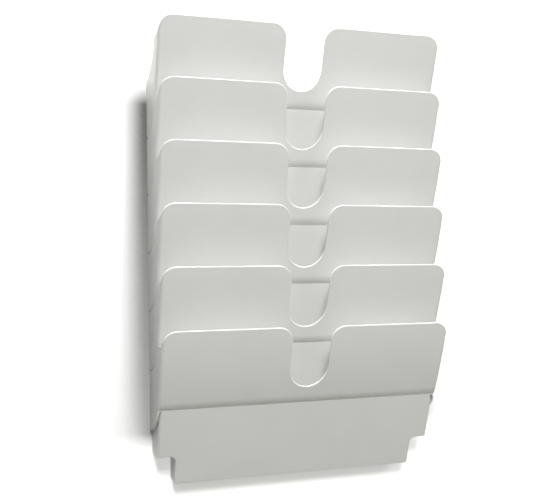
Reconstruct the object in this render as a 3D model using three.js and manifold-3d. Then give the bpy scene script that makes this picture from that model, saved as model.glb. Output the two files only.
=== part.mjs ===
// Wall document holder: six alike moulded trays that plug into each other down a wall.
// Millimetres, X to the right, +Y into the wall, +Z up. The wall is the plane y = 0, and the
// origin lies on it, at the middle of the holder's height.
// Inside a tray, "reach" is a distance out from the wall and "drop" a distance down from the
// top edge of its front panel.

import * as THREE from 'three';
import { mergeVertices } from 'three/addons/utils/BufferGeometryUtils.js';
import Module from 'manifold-3d';

const wasm = await Module();
wasm.setup();

// Driving dimensions

const trayCount = 6;
const trayPitch = 66.7;
const holderWidth = 330;
const wall = 2.2;
const fitGap = 0.3;
const seamGap = 0.5;

// Front panel: a leaning, slightly bowed sheet with two tabs and a thumb notch between them
const panelReach = 98;
const panelFootReach = 60.5;
const panelBow = 1.9;
const panelHeight = 86;
const panelCornerRadius = 3;
const tabCornerRadius = 16;
const notchWidth = 44.6;
const notchDepth = 67.3;

// Tuck: the panel's lower edge curls in to a crease, where the skirt begins
const tuckHeight = 9;
const creaseReach = 58.3;
const creaseLip = 0.4;
const tuckPullShare = 0.6;

// Side walls: the lower edge is a nose, and the next tray's upper edge follows it
const noseDrop = 114.5;
const noseFlat = 8;
const noseHeelRadius = 4.5;
const nosePullShare = [0.95, 0.646];
const sideLead = 4.3;

// Lower shell: skirt, pocket floor and plug-in tongue, narrow enough to slide into the next tray
const shoulderDrop = 139.3;
const floorLift = 0.6;
const tongueDrop = 171.7;
const tongueReach = 25.5;
const shoulderWidth = 20.3;
const tongueCornerRadius = 7;
const tongueHeelLift = 2.9;
const stopGap = 1;

// Snap tabs that reach up into the tongue of the tray above, and the windows they click into
const snapSpacing = 160;
const snapWidth = 24;
const snapHeight = 20;
const snapRoot = 6;
const beadDepth = 1.2;
const beadRamp = 3;
const beadBelowTip = 3.5;
const windowHeadroom = 0.7;

// Keyholes in the ears, and the screws that hang in them
const keyholeRadius = 4.7;
const keyholeRun = 10;
const keyholeFromEarTop = 11;
const screwPlay = 0.4;
const screwRadius = 2;
const screwHeadRadius = 4;
const screwHeadHeight = 2.6;
const screwLength = 30;
const screwTip = 5;
const recessArm = 2.3;
const recessHalfWidth = 0.6;
const recessDepth = 1.3;

// Cuts run this far past what they cut
const overrun = 3;

// How finely curves are stepped
const panelSteps = 6;
const tuckSteps = 3;
const noseSteps = 8;
const heelSteps = 3;
const cornerSteps = 3;
const tabSteps = 6;
const tongueSteps = 3;
const notchSteps = 14;
const keyholeSteps = 16;
const screwSides = 16;
const domeSteps = 4;

// Sizes that follow

const halfWidth = holderWidth / 2;
const innerHalf = halfWidth - wall;
const skirtHalf = innerHalf - fitGap;
const tongueHalf = skirtHalf - shoulderWidth;
const notchHalf = notchWidth / 2;
const tuckDrop = panelHeight - tuckHeight;
const sideTopDrop = panelHeight - trayPitch + seamGap - sideLead;
const earTopDrop = shoulderDrop - trayPitch + fitGap;
const socketDrop = tongueDrop - trayPitch + stopGap;
const socketHalf = tongueHalf + fitGap;
const earCentre = (socketHalf + innerHalf) / 2;
const floorDrop = shoulderDrop - floorLift;
const heelDrop = tongueDrop - tongueHeelLift;
const snapTipDrop = socketDrop - snapHeight;
const beadDrop = snapTipDrop + beadBelowTip;
const slotRadius = screwRadius + screwPlay;
const screwDrop = earTopDrop + keyholeFromEarTop;
const fullHeight = trayPitch * (trayCount - 1) + tongueDrop;

// Helpers for curves

const lerp = THREE.MathUtils.lerp;

function curvePoints(curve, steps) {
  return curve.getPoints(steps).map((p) => [p.x, p.y]);
}

function bend(from, pull, to, steps) {
  const curve = new THREE.QuadraticBezierCurve(
    new THREE.Vector2(...from), new THREE.Vector2(...pull), new THREE.Vector2(...to));
  return curvePoints(curve, steps);
}

// An arc as points, from one angle to another in quarter turns
function arc(cx, cy, radius, fromQuarter, toQuarter, steps) {
  const points = [];
  for (let i = 0; i <= steps; i++) {
    const angle = lerp(fromQuarter, toQuarter, i / steps) * Math.PI / 2;
    points.push([cx + radius * Math.cos(angle), cy + radius * Math.sin(angle)]);
  }
  return points;
}

const mirrored = (points) => points.map(([x, y]) => [-x, y]).reverse();
const dropped = (points, by) => points.map(([reach, drop]) => [reach, drop + by]);

// A side line that runs down and back, moved out towards the front and down by a distance
function movedOut(points, distance) {
  const normals = points.slice(1).map(([reach, drop], i) => (
    new THREE.Vector2(drop - points[i][1], points[i][0] - reach).normalize()));
  return points.map(([reach, drop], i) => {
    const before = normals[Math.max(i - 1, 0)];
    const after = normals[Math.min(i, normals.length - 1)];
    const middle = before.clone().add(after).normalize();
    const shift = middle.multiplyScalar(distance / middle.dot(after));
    return [reach + shift.x, drop + shift.y];
  });
}

// Solids

function toSolid(geometry) {
  geometry.deleteAttribute('normal');
  geometry.deleteAttribute('uv');
  const merged = mergeVertices(geometry);
  return new wasm.Manifold(new wasm.Mesh({
    numProp: 3,
    vertProperties: new Float32Array(merged.attributes.position.array),
    triVerts: new Uint32Array(merged.index.array),
  }));
}

function toGeometry(solid) {
  const mesh = solid.getMesh();
  const geometry = new THREE.BufferGeometry();
  geometry.setAttribute('position', new THREE.BufferAttribute(mesh.vertProperties, 3));
  geometry.setIndex(new THREE.BufferAttribute(mesh.triVerts, 1));
  geometry.computeVertexNormals();
  return geometry;
}

function extrude(outline, length, basis) {
  const shape = new THREE.Shape(outline.map((p) => new THREE.Vector2(...p)));
  const geometry = new THREE.ExtrudeGeometry(shape, { depth: length, bevelEnabled: false });
  geometry.applyMatrix4(basis);
  return toSolid(geometry);
}

// A side profile in (reach, drop), carried across from x = left to x = right
function across(profile, left, right) {
  const basis = new THREE.Matrix4().makeBasis(
    new THREE.Vector3(0, -1, 0), new THREE.Vector3(0, 0, -1), new THREE.Vector3(1, 0, 0));
  basis.setPosition(left, 0, 0);
  return extrude(profile, right - left, basis);
}

// A front outline in (x, drop), carried towards the wall from reach = front to reach = back
function through(outline, front, back) {
  const basis = new THREE.Matrix4().makeBasis(
    new THREE.Vector3(1, 0, 0), new THREE.Vector3(0, 0, -1), new THREE.Vector3(0, 1, 0));
  basis.setPosition(0, -front, 0);
  return extrude(outline, front - back, basis);
}

// The same side profile on both sides of the middle, from |x| = inner to |x| = outer
function bothSides(profile, inner, outer) {
  return across(profile, inner, outer).add(across(profile, -outer, -inner));
}

// A closed skin over level plan sections, each a ring of [x, reach], listed from the top down
function loft(sections) {
  const count = sections[0].ring.length;
  const positions = [];
  for (const { drop, ring } of sections) {
    for (const [x, reach] of ring) positions.push(x, -reach, -drop);
  }
  const cap = THREE.ShapeUtils.triangulateShape(
    sections[0].ring.map((p) => new THREE.Vector2(...p)), []);
  const last = (sections.length - 1) * count;
  const index = [];
  for (const [a, b, c] of cap) {
    index.push(a, c, b);
    index.push(last + a, last + b, last + c);
  }
  for (let level = 0; level < sections.length - 1; level++) {
    for (let i = 0; i < count; i++) {
      const a = level * count + i;
      const b = level * count + (i + 1) % count;
      index.push(a, b, a + count);
      index.push(b, b + count, a + count);
    }
  }
  const geometry = new THREE.BufferGeometry();
  geometry.setAttribute('position', new THREE.Float32BufferAttribute(positions, 3));
  geometry.setIndex(index);
  return toSolid(geometry);
}

// Curves of one tray

// The panel's face as [reach, drop, slope] from its top edge down to the crease
function panelFace() {
  const points = [];
  const fall = panelReach - panelFootReach;
  const face = (share) => panelReach - fall * share + 4 * panelBow * share * (1 - share);
  const slopeAt = (share) => (fall - 4 * panelBow * (1 - 2 * share)) / panelHeight;
  const tuckShare = tuckDrop / panelHeight;
  for (let i = 0; i <= panelSteps; i++) {
    const share = tuckShare * i / panelSteps;
    points.push([face(share), panelHeight * share, slopeAt(share)]);
  }
  const pullDrop = tuckHeight * tuckPullShare;
  const start = [face(tuckShare), tuckDrop];
  const pull = [start[0] - slopeAt(tuckShare) * pullDrop, tuckDrop + pullDrop];
  const curl = bend(start, pull, [creaseReach, panelHeight], tuckSteps);
  const endSlope = (pull[0] - creaseReach) / (panelHeight - pull[1]);
  for (let i = 1; i <= tuckSteps; i++) {
    const slope = lerp(slopeAt(tuckShare), endSlope, i / tuckSteps);
    points.push([...curl[i], slope]);
  }
  return points;
}

// The lower edge of the side wall, from the crease back to the wall
function noseEdge() {
  const reachPull = lerp(noseFlat, creaseReach, nosePullShare[0]);
  const dropPull = lerp(panelHeight, noseDrop, nosePullShare[1]);
  const sweep = bend([creaseReach, panelHeight], [reachPull, dropPull], [noseFlat, noseDrop], noseSteps);
  const heel = arc(noseHeelRadius, noseDrop - noseHeelRadius, noseHeelRadius, 1, 2, heelSteps);
  return [...sweep, ...heel];
}

// The upper edge of the side wall, from the wall out to where it leaves the tray above
function seatEdge() {
  const nose = noseEdge().slice(0, noseSteps + 1);
  const tuck = panelFace().slice(-tuckSteps - 1).map(([reach, drop]) => [reach, drop]);
  const seam = movedOut([...tuck, ...nose.slice(1)], seamGap);
  const above = dropped(seam, -trayPitch).reverse();
  const kept = above.filter(([, drop]) => drop > sideTopDrop);
  const next = above[kept.length];
  const last = kept[kept.length - 1];
  const share = (sideTopDrop - last[1]) / (next[1] - last[1]);
  const leave = [lerp(last[0], next[0], share), sideTopDrop];
  return [[0, noseDrop + seamGap - trayPitch], ...kept, leave];
}

// The front of the skirt and tongue, one straight slope from just behind the crease down
const skirtSlope = (creaseReach - creaseLip - tongueReach) / (tongueDrop - panelHeight);
const skirtReach = (drop) => tongueReach + skirtSlope * (tongueDrop - drop);
const skirtThick = wall * Math.hypot(1, skirtSlope);
const skirtMid = (drop) => [skirtReach(drop) - skirtThick / 2, drop];

// Parts of one tray

// A plan section with round front corners, square at the back
function planRing(half, front, radius, back) {
  const right = arc(half - radius, front - radius, radius, 0, 1, cornerSteps);
  return [[half, back], ...right, ...mirrored(right), [-half, back]];
}

// Panel and side walls in one bent sheet
function upperShell() {
  const [top, ...lower] = panelFace();
  const levels = (above) => [[top[0] + top[2] * above, -above, top[2]], ...lower];
  const outer = levels(overrun).map(([reach, drop]) => (
    { drop, ring: planRing(halfWidth, reach, panelCornerRadius, 0) }));
  outer.push({ drop: noseDrop, ring: planRing(halfWidth, creaseReach, panelCornerRadius, 0) });
  const hollow = levels(overrun * 2).map(([reach, drop, slope]) => {
    const inside = reach - wall * Math.hypot(1, slope);
    return { drop, ring: planRing(innerHalf, inside, panelCornerRadius - wall, -overrun) };
  });
  const open = [
    [creaseReach + overrun, panelHeight], [creaseReach + overrun, noseDrop + overrun],
    [-overrun, noseDrop + overrun], [-overrun, panelHeight]];
  return loft(outer).subtract(loft(hollow)).subtract(across(open, -innerHalf, innerHalf));
}

// What is cut from the side walls: above the seat edge, and below the nose
function sideCuts() {
  const rear = panelFace().slice(0, 2).map(([reach, drop, slope]) => (
    [reach - wall * Math.hypot(1, slope), drop]));
  const behind = (drop) => [lerp(rear[0][0], rear[1][0], drop / rear[1][1]), drop];
  const above = [
    [-overrun, noseDrop + seamGap - trayPitch], ...seatEdge(), behind(sideTopDrop),
    behind(-overrun * 2), [-overrun, -overrun * 2]];
  const below = [
    [panelReach, panelHeight], ...noseEdge(), [-overrun, noseDrop - noseHeelRadius],
    [-overrun, noseDrop + overrun], [panelReach, noseDrop + overrun]];
  return bothSides(above, innerHalf - fitGap, halfWidth + overrun)
    .add(across(below, -halfWidth - overrun, halfWidth + overrun));
}

// The outline of the panel seen from the front: two tabs and the thumb notch
function tabOutline() {
  const r = tabCornerRadius;
  const notchBottom = notchDepth - notchHalf;
  const rightTab = [
    ...arc(notchHalf + r, r, r, -2, -1, tabSteps),
    ...arc(halfWidth - r, r, r, -1, 0, tabSteps)];
  const notch = arc(0, notchBottom, notchHalf, 2, 0, notchSteps);
  return [
    [-halfWidth - overrun, noseDrop + overrun], [-halfWidth - overrun, r], ...mirrored(rightTab),
    ...notch, ...rightTab, [halfWidth + overrun, r], [halfWidth + overrun, noseDrop + overrun]];
}

// The step from the side wall in to the narrower lower shell, along the nose
function noseLedges() {
  const edge = [...noseEdge().slice(1), [0, noseDrop - noseHeelRadius - wall]];
  const band = [
    [creaseReach - wall / 2, panelHeight - wall / 2], ...edge, ...movedOut(edge, -wall).reverse(),
    [creaseReach - wall, panelHeight - wall / 4]];
  return bothSides(band, skirtHalf - wall * 2 / 3, innerHalf + wall / 2);
}

function skirtReturns() {
  const top = movedOut(noseEdge(), -wall / 2)
    .filter(([reach, drop]) => reach < skirtMid(drop)[0] - fitGap);
  const profile = [
    skirtMid(top[0][1]), ...top, [0, noseDrop - noseHeelRadius], [0, shoulderDrop],
    skirtMid(shoulderDrop)];
  return bothSides(profile, skirtHalf - wall, skirtHalf);
}

// Skirt and tongue in one sheet, cut to its outline with round inner corners
function skirtSheet() {
  const top = panelHeight - wall / 2;
  const low = tongueDrop + overrun;
  const sheet = across([
    [skirtReach(top), top], [skirtReach(top) - skirtThick, top],
    [skirtReach(low) - skirtThick, low], [skirtReach(low), low]], -skirtHalf, skirtHalf);
  const r = tongueCornerRadius;
  const right = [
    [tongueHalf, tongueDrop],
    ...arc(tongueHalf + r, shoulderDrop + r, r, 2, 3, tongueSteps),
    [skirtHalf + overrun, shoulderDrop], [skirtHalf + overrun, top - overrun]];
  return sheet.intersect(through([...right, ...mirrored(right)], panelReach, -overrun));
}

function pocketFloor() {
  const top = floorDrop - wall;
  const half = skirtHalf - wall / 3;
  return across([[wall / 2, top], skirtMid(top), skirtMid(floorDrop), [wall / 2, floorDrop]], -half, half);
}

function tongueWebs() {
  const top = floorDrop - wall / 2;
  const [midReach] = skirtMid(tongueDrop);
  const profile = [
    [0, top], skirtMid(top), [midReach, lerp(heelDrop, tongueDrop, midReach / tongueReach)],
    [0, heelDrop]];
  return bothSides(profile, tongueHalf - wall, tongueHalf);
}

// The flat back against the wall, with an ear on each side of the socket for the tray above
function backPlate() {
  const inSide = innerHalf + wall / 2;
  const inReturn = skirtHalf - wall / 2;
  const inWeb = tongueHalf - wall / 2;
  const sideEnd = noseDrop - noseHeelRadius - wall / 2;
  const right = [
    [inWeb, heelDrop], [inWeb, floorDrop - wall / 3], [inReturn, floorDrop - wall / 3],
    [inReturn, sideEnd], [inSide, sideEnd], [inSide, earTopDrop],
    [socketHalf, earTopDrop], [socketHalf, socketDrop]];
  return through([...right, ...mirrored(right)], wall, 0);
}

// Two tabs that stand in front of the tongue of the tray above, each with a bead on its back
function snapTabs() {
  const back = wall + fitGap;
  const front = back + wall;
  const profile = [
    [wall / 2, socketDrop + snapRoot], [front, socketDrop + snapRoot], [front, snapTipDrop],
    [back, snapTipDrop], [back, beadDrop - beadRamp], [back - beadDepth, beadDrop - fitGap],
    [back - beadDepth, beadDrop], [back, beadDrop], [back, socketDrop + fitGap],
    [wall / 2, socketDrop + fitGap]];
  return bothSides(profile, snapSpacing / 2 - snapWidth / 2, snapSpacing / 2 + snapWidth / 2);
}

function snapWindows() {
  const low = beadDrop + trayPitch + fitGap;
  const high = beadDrop + trayPitch - beadRamp - windowHeadroom;
  const left = snapSpacing / 2 - snapWidth / 2 - fitGap;
  const right = left + snapWidth + 2 * fitGap;
  const outline = [[left, low], [right, low], [right, high], [left, high]];
  return through(outline, wall + overrun, -overrun)
    .add(through(mirrored(outline), wall + overrun, -overrun));
}

// A round hole for the screw's head, with a slot up to where its shank rests
function keyholes() {
  const centreDrop = screwDrop + keyholeRun;
  const turn = arc(earCentre, centreDrop, keyholeRadius, 0, 4, keyholeSteps);
  const slot = [
    [earCentre + slotRadius, centreDrop],
    ...arc(earCentre, screwDrop, slotRadius, 0, -2, keyholeSteps / 2),
    [earCentre - slotRadius, centreDrop]];
  const holes = through(turn.slice(1), wall + overrun, -overrun)
    .add(through(slot, wall + overrun, -overrun));
  const others = through(mirrored(turn.slice(1)), wall + overrun, -overrun)
    .add(through(mirrored(slot), wall + overrun, -overrun));
  return holes.add(others);
}

function trayGeometry() {
  const upper = upperShell().subtract(sideCuts())
    .intersect(through(tabOutline(), panelReach + overrun, -overrun));
  const tray = upper
    .add(noseLedges())
    .add(skirtReturns())
    .add(skirtSheet())
    .add(pocketFloor())
    .add(tongueWebs())
    .add(backPlate())
    .add(snapTabs())
    .subtract(snapWindows())
    .subtract(keyholes());
  return toGeometry(tray);
}

// Round-headed wall screw, turned about its axis: head towards -Y, tip into the wall
function screwGeometry() {
  const head = [];
  for (let i = 0; i <= domeSteps; i++) {
    const angle = Math.PI / 2 * i / domeSteps;
    const rise = screwHeadHeight * Math.cos(angle);
    head.push(new THREE.Vector2(screwHeadRadius * Math.sin(angle), -rise));
  }
  head[0].x = 0;
  const profile = [
    ...head,
    new THREE.Vector2(screwRadius, 0),
    new THREE.Vector2(screwRadius, screwLength - screwTip),
    new THREE.Vector2(0, screwLength)];
  const turned = toSolid(new THREE.LatheGeometry(profile, screwSides));
  return toGeometry(turned.subtract(crossRecess()));
}

// The recess for a cross-tip driver, open at the top of the head
function crossRecess() {
  const corner = [recessHalfWidth, recessHalfWidth];
  const arm = [[recessArm, -recessHalfWidth], [recessArm, recessHalfWidth], corner];
  const outline = [];
  for (let quarter = 0; quarter < 4; quarter++) {
    const turn = quarter * Math.PI / 2;
    const [c, s] = [Math.cos(turn), Math.sin(turn)];
    outline.push(...arm.map(([x, drop]) => [x * c - drop * s, x * s + drop * c]));
  }
  return through(outline, screwHeadHeight + overrun, screwHeadHeight - recessDepth);
}

// Assembly

const whitePolystyrene = new THREE.MeshStandardMaterial({
  color: 0xe9e9e6, roughness: 0.35, metalness: 0 });
const zincedSteel = new THREE.MeshStandardMaterial({
  color: 0xb9bcbf, roughness: 0.35, metalness: 1 });

const holder = new THREE.Group();
const topZ = fullHeight / 2;
const trayTop = (number) => topZ - trayPitch * (number - 1);

const trayShape = trayGeometry();
for (let number = 1; number <= trayCount; number++) {
  const tray = new THREE.Mesh(trayShape, whitePolystyrene);
  tray.name = `tray_${number}`;
  tray.position.set(0, 0, trayTop(number));
  holder.add(tray);
}

const screwShape = screwGeometry();
function addScrew(name, x, number) {
  const screw = new THREE.Mesh(screwShape, zincedSteel);
  screw.name = name;
  screw.position.set(x, -wall - fitGap, trayTop(number) - screwDrop);
  holder.add(screw);
}

addScrew('wall_screw_upper_left', -earCentre, 1);
addScrew('wall_screw_upper_right', earCentre, 1);
addScrew('wall_screw_lower_left', -earCentre, trayCount);
addScrew('wall_screw_lower_right', earCentre, trayCount);

export default holder;
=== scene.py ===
import bpy
import math
from mathutils import Matrix, Vector
from mathutils.geometry import delaunay_2d_cdt


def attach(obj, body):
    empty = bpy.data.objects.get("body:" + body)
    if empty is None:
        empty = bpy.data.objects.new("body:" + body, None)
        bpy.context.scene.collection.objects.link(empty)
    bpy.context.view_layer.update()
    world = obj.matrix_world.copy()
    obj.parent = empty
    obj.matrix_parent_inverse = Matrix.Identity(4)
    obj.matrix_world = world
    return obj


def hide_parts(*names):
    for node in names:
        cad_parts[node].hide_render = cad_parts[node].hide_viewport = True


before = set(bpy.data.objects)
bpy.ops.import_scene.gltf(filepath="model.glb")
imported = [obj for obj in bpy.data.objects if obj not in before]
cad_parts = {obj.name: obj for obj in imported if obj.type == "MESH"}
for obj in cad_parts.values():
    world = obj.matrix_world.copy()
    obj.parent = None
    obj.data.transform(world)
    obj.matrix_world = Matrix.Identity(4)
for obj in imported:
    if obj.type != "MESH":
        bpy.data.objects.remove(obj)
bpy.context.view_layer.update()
print("Frame loaded:", len(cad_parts), "nodes")

mm = 0.001


def linearColour(hexCode):
    channels = []
    for i in (0, 2, 4):
        c = int(hexCode[i:i + 2], 16) / 255
        channels.append(c / 12.92 if c <= 0.04045 else ((c + 0.055) / 1.055) ** 2.4)
    return (*channels, 1)


def mix(a, b, share):
    return a + (b - a) * share


def clamped(share):
    return min(1, max(0, share))


# Inputs go by name or number, or in order. Each is a value, a socket or a node, whose first output in
# use is then linked. The colours that a Mix blends are its inputs 6 and 7.
def addNode(tree, kind, inputs=(), **settings):
    node = tree.nodes.new(kind)
    for name, value in settings.items():
        setattr(node, name, value)
    for socket, value in (inputs.items() if isinstance(inputs, dict) else enumerate(inputs)):
        if isinstance(value, bpy.types.Node):
            value = next(output for output in value.outputs if output.enabled)
        if isinstance(value, bpy.types.NodeSocket):
            tree.links.new(value, node.inputs[socket])
        else:
            node.inputs[socket].default_value = value
    return node


def newMaterial(name):
    material = bpy.data.materials.new(name)
    material.use_nodes = True
    material.node_tree.nodes.clear()
    return material, material.node_tree


# The tray's sizes in mm, the same as in the solids where these have them
tray = {
    "count": 6,
    "pitch": 66.7,
    "width": 330,
    "wall": 2.2,
    "gap": 0.3,
    "edgeRadius": 1.0,        # rounding of the sheets' rims
    "cornerRadius": 4,        # upright corners between panel and side walls
    "panelReach": 98,
    "panelFootReach": 60.5,
    "panelBow": 1.9,          # how far its front bulges at half height
    "panelHeight": 86,
    "tabRadius": 16,
    "notchWidth": 44.6,
    "notchDepth": 67.3,
    "tuckHeight": 9,
    "tuckPull": 0.6,          # how far down its curve is drawn, as a share of its height
    "creaseReach": 58.3,
    "footLength": 1.4,        # how far the panel's sheet goes on below the crease
    "footCorner": 0.4,        # and how far round the corner
    "footBend": 3,            # how far back it goes there in the end
    "footBendFade": 2,        # across, where that ends near the corner
    "noseDrop": 114.5,
    "noseFlat": 8,            # reach of the flat behind the nose's curve
    "nosePull": (0.95, 0.646),      # shares of reach and drop that the curve is drawn towards
    "heelRadius": 4.5,
    "seamGap": 0.5,
    "sideLead": 4.3,          # how far the side wall goes on above the crease of the tray above
    "leaveRound": 2.5,        # rounding where the side wall leaves the tray above
    "sideRound": 3,           # and where it meets the panel
    "skirtCornerRadius": 3,
    "skirtRise": 0.8,         # how far the skirt reaches up behind the crease
    "returnSetBack": 1.5,     # of the returns' tops from the skirt's corner
    "lugShare": 1.7,          # height at the back of the returns, in heel radii above the nose's foot
    "shoulderDrop": 139.3,
    "shoulderWidth": 20.3,
    "shoulderReaches": (34, 30, 20, 10),    # points along the return's lower edge
    "floorLift": 0.6,         # of the pocket's floor above the shoulders
    "tongueDrop": 171.7,
    "tongueReach": 25.5,
    "tongueRadius": 7,        # the hollow corner beside the tongue
    "tongueRound": 1.8,       # and the tongue's own corners
    "heelLift": 2.9,          # how much higher the tongue ends at the wall
    "stopGap": 1,             # from the tongue down to the back plate of the tray below
}

# Points in curves
steps = {"nose": 24, "heel": 6, "tuck": 6, "back": 24, "seat": 3, "tab": 14, "cheek": 12, "bowl": 16,
         "shoulder": 8, "rear": 8, "keyhole": 28, "slot": 10}

wall = tray["wall"]
halfWidth = tray["width"] / 2
innerHalf = halfWidth - wall
skirtHalf = innerHalf - tray["gap"]
tongueHalf = skirtHalf - tray["shoulderWidth"]
sideTop = tray["panelHeight"] - tray["pitch"] + tray["seamGap"] - tray["sideLead"]
earTop = tray["shoulderDrop"] - tray["pitch"] + tray["gap"]
socketDrop = tray["tongueDrop"] - tray["pitch"] + tray["stopGap"]
socketHalf = tongueHalf + tray["gap"]
earCentre = (socketHalf + innerHalf) / 2
floorDrop = tray["shoulderDrop"] - tray["floorLift"]
topZ = (tray["pitch"] * (tray["count"] - 1) + tray["tongueDrop"]) / 2


# A bend between two points, drawn towards a third
def bend(start, pull, end, count):
    points = []
    for i in range(count + 1):
        t = i / count
        a, b, c = (1 - t) ** 2, 2 * t * (1 - t), t * t
        points.append((a * start[0] + b * pull[0] + c * end[0], a * start[1] + b * pull[1] + c * end[1]))
    return points


# Arc as points, between two angles in quarter turns
def arc(cx, cy, radius, fromQuarter, toQuarter, count):
    points = []
    for i in range(count + 1):
        angle = mix(fromQuarter, toQuarter, i / count) * math.pi / 2
        points.append((cx + radius * math.cos(angle), cy + radius * math.sin(angle)))
    return points


# A line of (reach, drop) that runs down and back, moved out towards the front and down
def movedOut(points, distance):
    normals = []
    for (r0, d0), (r1, d1) in zip(points, points[1:]):
        normals.append(Vector((d1 - d0, r0 - r1)).normalized())
    moved = []
    for i, (reach, drop) in enumerate(points):
        before = normals[max(i - 1, 0)]
        after = normals[min(i, len(normals) - 1)]
        middle = (before + after).normalized()
        shift = middle * (distance / middle.dot(after))
        moved.append((reach + shift.x, drop + shift.y))
    return moved


# How far out the front is at each drop: a leaning, bowed panel, then the tuck down to the crease
def tuckCurve():
    height, reach = tray["panelHeight"], tray["panelReach"]
    fall = reach - tray["panelFootReach"]
    start = height - tray["tuckHeight"]
    share = start / height
    startReach = reach - fall * share + 4 * tray["panelBow"] * share * (1 - share)
    slope = (fall - 4 * tray["panelBow"] * (1 - 2 * share)) / height
    pullDrop = tray["tuckHeight"] * tray["tuckPull"]
    pull = (startReach - slope * pullDrop, start + pullDrop)
    return (startReach, start), pull, (tray["creaseReach"], height)


tuckStart, tuckPull, tuckEnd = tuckCurve()
tuckSlope = (tuckPull[0] - tuckEnd[0]) / (tuckEnd[1] - tuckPull[1])


def panelFront(drop, along=halfWidth):
    height = tray["panelHeight"]
    if drop <= tuckStart[1]:
        share = drop / height
        fall = tray["panelReach"] - tray["panelFootReach"]
        return tray["panelReach"] - fall * share + 4 * tray["panelBow"] * share * (1 - share)
    if drop <= height:
        a = tuckStart[1] - 2 * tuckPull[1] + tuckEnd[1]
        b = 2 * (tuckPull[1] - tuckStart[1])
        t = (-b + math.sqrt(b * b - 4 * a * (tuckStart[1] - drop))) / (2 * a)
        return (1 - t) ** 2 * tuckStart[0] + 2 * t * (1 - t) * tuckPull[0] + t * t * tuckEnd[0]
    # below the crease the sheet runs on behind the skirt, but stays out at the corners for the nose
    bent = tray["footBend"]
    middle = clamped((halfWidth - tray["cornerRadius"] - along) / tray["footBendFade"] + 0.5)
    return tuckEnd[0] - middle * bent * (1 - math.exp(-tuckSlope * (drop - height) / bent))


skirtSlope = (tray["creaseReach"] - tray["tongueReach"]) / (tray["tongueDrop"] - tray["panelHeight"])


# The skirt's front leans in a plane, the same all across
def skirtFront(drop, along=0):
    return tray["tongueReach"] + skirtSlope * (tray["tongueDrop"] - drop)


# The side wall's lower edge: a sweep back from the crease, and the round heel at the wall
def noseLine():
    flat, drop = tray["noseFlat"], tray["noseDrop"]
    pull = (mix(flat, tray["creaseReach"], tray["nosePull"][0]),
            mix(tray["panelHeight"], drop, tray["nosePull"][1]))
    sweep = bend((tray["creaseReach"], tray["panelHeight"]), pull, (flat, drop), steps["nose"])
    radius = tray["heelRadius"]
    return sweep, arc(radius, drop - radius, radius, 1, 2, steps["heel"])


# The side wall's upper edge, from the wall out to where it leaves the tray above
def seatLine():
    sweep, _ = noseLine()
    tuck = bend(tuckStart, tuckPull, tuckEnd, steps["tuck"])
    seam = movedOut([*tuck, *sweep[1:]], tray["seamGap"])
    above = [(reach, drop - tray["pitch"]) for reach, drop in reversed(seam)]
    kept = [p for p in above if p[1] > sideTop]
    last, after = kept[-1], above[len(kept)]
    share = (sideTop - last[1]) / (after[1] - last[1])
    leave = (mix(last[0], after[0], share), sideTop)
    return [(0, tray["noseDrop"] + tray["seamGap"] - tray["pitch"]), *kept, leave]


sheet = {
    "nothing": 1e-6,          # mm, shorter than any edge
    "sameSpot": 0.01,
    "probe": 0.02,            # mm, the step that slopes are measured on
    "leastMitre": 0.5,        # limits the rim's inset at sharp corners
    "clearShare": 0.55,       # how near the rim a point inside may be, as a share of the longest edge
    "sliver": 1e-4,           # area of the narrowest triangle, as a share of its length squared
}


# Each wall of the tray is a sheet: a flat outline wrapped on a surface, given its thickness and rounded
# rims. This surface runs along the front, round an upright corner and back along the side, and s is
# the unrolled distance from the middle.
def wrapped(half, radius, front):
    flat, quarter = half - radius, math.pi / 2 * radius

    def point(s, drop):
        side, a, reach = math.copysign(1, s), abs(s), front(drop, abs(s))
        if a <= flat:
            return Vector((s, -reach, -drop))
        if a <= flat + quarter:
            turn = (a - flat) / radius
            x, y = flat + radius * math.sin(turn), radius * (1 - math.cos(turn)) - reach
            return Vector((side * x, y, -drop))
        return Vector((side * half, radius + (a - flat - quarter) - reach, -drop))

    return point


# Where on that surface a spot of the side wall is, and one of the front
def alongSide(half, radius, front, reach, drop):
    back = front(drop) - reach
    if back < radius:
        return half - radius + radius * math.acos(1 - max(back, 0) / radius)
    return half - radius + math.pi / 2 * radius + back - radius


def alongFront(half, radius, x):
    flat = half - radius
    return x if x <= flat else flat + radius * math.asin(min(1, (x - flat) / radius))


# The loop with points added, so that none is farther than that from the next
def resampled(loop, longest):
    points = []
    for i, a in enumerate(loop):
        b = loop[(i + 1) % len(loop)]
        length = math.dist(a, b)
        if length < sheet["nothing"]:
            continue
        pieces = max(1, math.ceil(length / longest))
        points += [(mix(a[0], b[0], k / pieces), mix(a[1], b[1], k / pieces)) for k in range(pieces)]
    return points


# Rounds the corners of a loop that stand near the given places
def softened(loop, corners, count=5):
    points = []
    for i, p in enumerate(loop):
        near = [size for spot, size in corners if math.dist(spot, p) < sheet["sameSpot"]]
        setback = near[0] if near else 0
        if not setback:
            points.append(p)
            continue
        before, after = loop[i - 1], loop[(i + 1) % len(loop)]
        a = min(1, setback / math.dist(p, before))
        b = min(1, setback / math.dist(p, after))
        start = (mix(p[0], before[0], a), mix(p[1], before[1], a))
        end = (mix(p[0], after[0], b), mix(p[1], after[1], b))
        points += bend(start, p, end, count)
    return points


def signedArea(loop):
    return sum(a[0] * b[1] - b[0] * a[1] for a, b in zip(loop, loop[1:] + loop[:1])) / 2


def insideLoops(p, loops):
    inside = False
    for loop in loops:
        for (x0, y0), (x1, y1) in zip(loop, loop[1:] + loop[:1]):
            if (y0 > p[1]) != (y1 > p[1]) and p[0] < (x1 - x0) * (p[1] - y0) / (y1 - y0) + x0:
                inside = not inside
    return inside


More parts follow.
